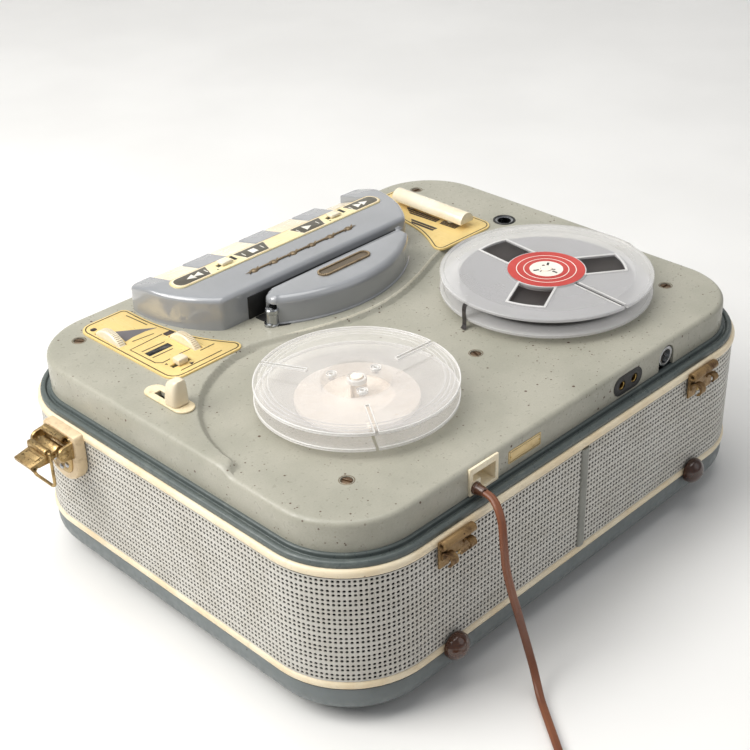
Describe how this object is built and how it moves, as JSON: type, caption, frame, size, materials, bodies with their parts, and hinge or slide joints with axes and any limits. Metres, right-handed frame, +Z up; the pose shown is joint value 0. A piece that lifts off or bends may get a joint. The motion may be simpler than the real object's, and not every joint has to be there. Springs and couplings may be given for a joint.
{
  "type": "reel-to-reel tape recorder",
  "caption": "Portable two-reel tape recorder: rounded case with a grille band, sloping piano keys, curved head cover, thumbwheels, latches, carrying handle and mains cord.",
  "frame": {"origin": "on the floor, under the middle of the case and its fittings", "axes": "+Z up, -Y towards the operator's keys, +X to the operator's right"},
  "size_m": [0.5014, 0.4809, 0.1705],
  "materials": {
    "tray_grey": "fine grain",
    "black_rubber": "matt",
    "cream_band": "satin",
    "grille_grey": "painted, perforated",
    "plywood": "raw",
    "brown_plastic": "satin",
    "aged_brass": "aged",
    "handle_black": "stitched",
    "deck_paint": "hammered, worn",
    "screw_steel": "worn",
    "housing_grey": "gloss",
    "cream_key": "gloss, aged",
    "gold_plate": "printed",
    "dark_window": "gloss",
    "black_plastic": "satin",
    "works_steel": "plain",
    "pulley_brass": "turned",
    "cord_brown": "satin",
    "clear_reel": "clear",
    "milky_reel": "milky",
    "tape": "wound",
    "core_iron": "lacquered",
    "board": "plain"
  },
  "bodies": {
    "case": {"base_tray": "tray_grey", "foot_pads": "black_rubber", "cream_bands": "cream_band", "grille": "grille_grey", "joint_strip": "grille_grey", "rim_gasket": "black_rubber", "case_liner": "plywood", "back_feet": "brown_plastic", "hinge_leaves": "aged_brass", "latch_plates": "aged_brass", "handle_brackets": "aged_brass", "deck_cover": "deck_paint", "deck_screws": "screw_steel", "key_housing": "housing_grey", "label_strip": "gold_plate", "bronze_trim": "aged_brass", "head_cover": "housing_grey", "gold_plates": "gold_plate", "level_indicator": "dark_window", "switch_plate": "cream_key", "inlet_frame": "cream_key", "socket_block": "black_plastic", "round_socket": "works_steel", "cord_gland": "brown_plastic", "cord": "cord_brown", "cord_coil": "cord_brown", "cord_tie": "brown_plastic", "mains_plug": "brown_plastic", "chassis_plate": "works_steel", "motor": "works_steel", "drive_belt": "black_rubber", "head_block": "works_steel", "transformer": "core_iron", "amplifier": "board", "loudspeaker": "core_iron"},
    "latch_lever_r": {"latch_lever_r": "aged_brass"},
    "latch_lever_l": {"latch_lever_l": "aged_brass"},
    "latch_bail_r": {"latch_bail_r": "aged_brass"},
    "latch_bail_l": {"latch_bail_l": "aged_brass"},
    "handle": {"handle": "handle_black"},
    "key_1": {"key_1": "cream_key"},
    "key_2": {"key_2": "cream_key"},
    "key_3": {"key_3": "cream_key"},
    "key_4": {"key_4": "cream_key"},
    "strip_button_a": {"strip_button_a": "cream_key"},
    "strip_button_b": {"strip_button_b": "cream_key"},
    "volume_wheel": {"volume_wheel": "cream_key"},
    "tone_wheel": {"tone_wheel": "cream_key"},
    "mode_knob": {"mode_knob": "cream_key"},
    "switch_knob": {"switch_knob": "cream_key"},
    "pause_bar": {"pause_bar": "cream_key"},
    "motor_pulley": {"motor_pulley": "pulley_brass"},
    "flywheel": {"flywheel": "works_steel"},
    "pinch_arm": {"pinch_arm": "works_steel"},
    "pinch_roller": {"pinch_roller": "black_rubber"},
    "turntable_supply": {"turntable_supply": "cream_key"},
    "turntable_takeup": {"turntable_takeup": "cream_key"},
    "takeup_reel": {"takeup_reel": "clear_reel"},
    "supply_reel": {"supply_reel": "milky_reel", "tape_pack": "tape"}
  },
  "joints": [
    {"name": "supply_spin", "type": "hinge", "parent": "case", "child": "turntable_supply", "pos_m": [-0.097, 0.053, 0.145], "axis": [0, 0, 1], "continuous": true},
    {"name": "takeup_spin", "type": "hinge", "parent": "case", "child": "turntable_takeup", "pos_m": [0.091, 0.057, 0.145], "axis": [0, 0, 1], "continuous": true},
    {"name": "supply_reel_lift", "type": "slide", "parent": "turntable_supply", "child": "supply_reel", "axis": [0, 0, 1], "range_m": [0, 0.03]},
    {"name": "takeup_reel_lift", "type": "slide", "parent": "turntable_takeup", "child": "takeup_reel", "axis": [0, 0, 1], "range_m": [0, 0.03]},
    {"name": "flywheel_spin", "type": "hinge", "parent": "case", "child": "flywheel", "pos_m": [0.026, -0.052, 0.121], "axis": [0, 0, 1], "continuous": true},
    {"name": "motor_spin", "type": "hinge", "parent": "case", "child": "motor_pulley", "pos_m": [-0.062, -0.05, 0.121], "axis": [0, 0, 1], "continuous": true},
    {"name": "key_1_press", "type": "hinge", "parent": "case", "child": "key_1", "pos_m": [0.083, -0.1, 0.153], "axis": [1, 0, 0], "range_deg": [0, 7], "stiffness_Nm_per_rad": 0.6, "springref_deg": -8.59},
    {"name": "key_2_press", "type": "hinge", "parent": "case", "child": "key_2", "pos_m": [0.031, -0.1, 0.153], "axis": [1, 0, 0], "range_deg": [0, 7], "stiffness_Nm_per_rad": 0.6, "springref_deg": -8.59},
    {"name": "key_3_press", "type": "hinge", "parent": "case", "child": "key_3", "pos_m": [-0.021, -0.1, 0.153], "axis": [1, 0, 0], "range_deg": [0, 7], "stiffness_Nm_per_rad": 0.6, "springref_deg": -8.59},
    {"name": "key_4_press", "type": "hinge", "parent": "case", "child": "key_4", "pos_m": [-0.073, -0.1, 0.153], "axis": [1, 0, 0], "range_deg": [-7, 0]},
    {"name": "pinch_arm_swing", "type": "hinge", "parent": "case", "child": "pinch_arm", "pos_m": [0.042, -0.047, 0.1462], "axis": [0, 0, 1], "range_deg": [-6, 0]},
    {"name": "pinch_roller_spin", "type": "hinge", "parent": "pinch_arm", "child": "pinch_roller", "pos_m": [0.026, -0.042, 0.152], "axis": [0, 0, 1], "continuous": true},
    {"name": "strip_button_a_slide", "type": "slide", "parent": "case", "child": "strip_button_a", "axis": [1, 0, 0], "range_m": [-0.004, 0.004]},
    {"name": "strip_button_b_slide", "type": "slide", "parent": "case", "child": "strip_button_b", "axis": [1, 0, 0], "range_m": [-0.004, 0.004]},
    {"name": "volume_turn", "type": "hinge", "parent": "case", "child": "volume_wheel", "pos_m": [0.152, -0.113, 0.1337], "axis": [1, 0, 0], "range_deg": [-130, 130]},
    {"name": "tone_turn", "type": "hinge", "parent": "case", "child": "tone_wheel", "pos_m": [0.121, -0.073, 0.1337], "axis": [1, 0, 0], "range_deg": [-130, 130]},
    {"name": "mode_slide", "type": "slide", "parent": "case", "child": "mode_knob", "axis": [1, 0, 0], "range_m": [-0.005, 0.005]},
    {"name": "switch_slide", "type": "slide", "parent": "case", "child": "switch_knob", "axis": [0, 1, 0], "range_m": [-0.0155, 0.0005]},
    {"name": "pause_press", "type": "slide", "parent": "case", "child": "pause_bar", "axis": [0, 0, -1], "range_m": [0, 0.003], "stiffness_N_per_m": 600, "springref_m": -0.004},
    {"name": "latch_lever_r_turn", "type": "hinge", "parent": "case", "child": "latch_lever_r", "pos_m": [0.221, -0.09, 0.1055], "axis": [0, 1, 0], "range_deg": [-50, 55]},
    {"name": "latch_bail_r_hang", "type": "hinge", "parent": "latch_lever_r", "child": "latch_bail_r", "pos_m": [0.2297, -0.09, 0.10794], "axis": [0, 1, 0], "range_deg": [-55, 50]},
    {"name": "latch_lever_l_turn", "type": "hinge", "parent": "case", "child": "latch_lever_l", "pos_m": [-0.221, -0.09, 0.1055], "axis": [0, -1, 0], "range_deg": [-50, 55]},
    {"name": "latch_bail_l_hang", "type": "hinge", "parent": "latch_lever_l", "child": "latch_bail_l", "pos_m": [-0.2297, -0.09, 0.10794], "axis": [0, -1, 0], "range_deg": [-55, 50]},
    {"name": "handle_swing", "type": "hinge", "parent": "case", "child": "handle", "pos_m": [0, -0.1715, 0.0815], "axis": [1, 0, 0], "range_deg": [-110, 0]}
  ],
  "couplings": [
    {"joint": "motor_spin", "follows": "flywheel_spin", "ratio": 5.4286},
    {"joint": "pinch_arm_swing", "follows": "key_4_press", "ratio": 0.85},
    {"joint": "latch_bail_r_hang", "follows": "latch_lever_r_turn", "ratio": -1},
    {"joint": "latch_bail_l_hang", "follows": "latch_lever_l_turn", "ratio": -1}
  ]
}
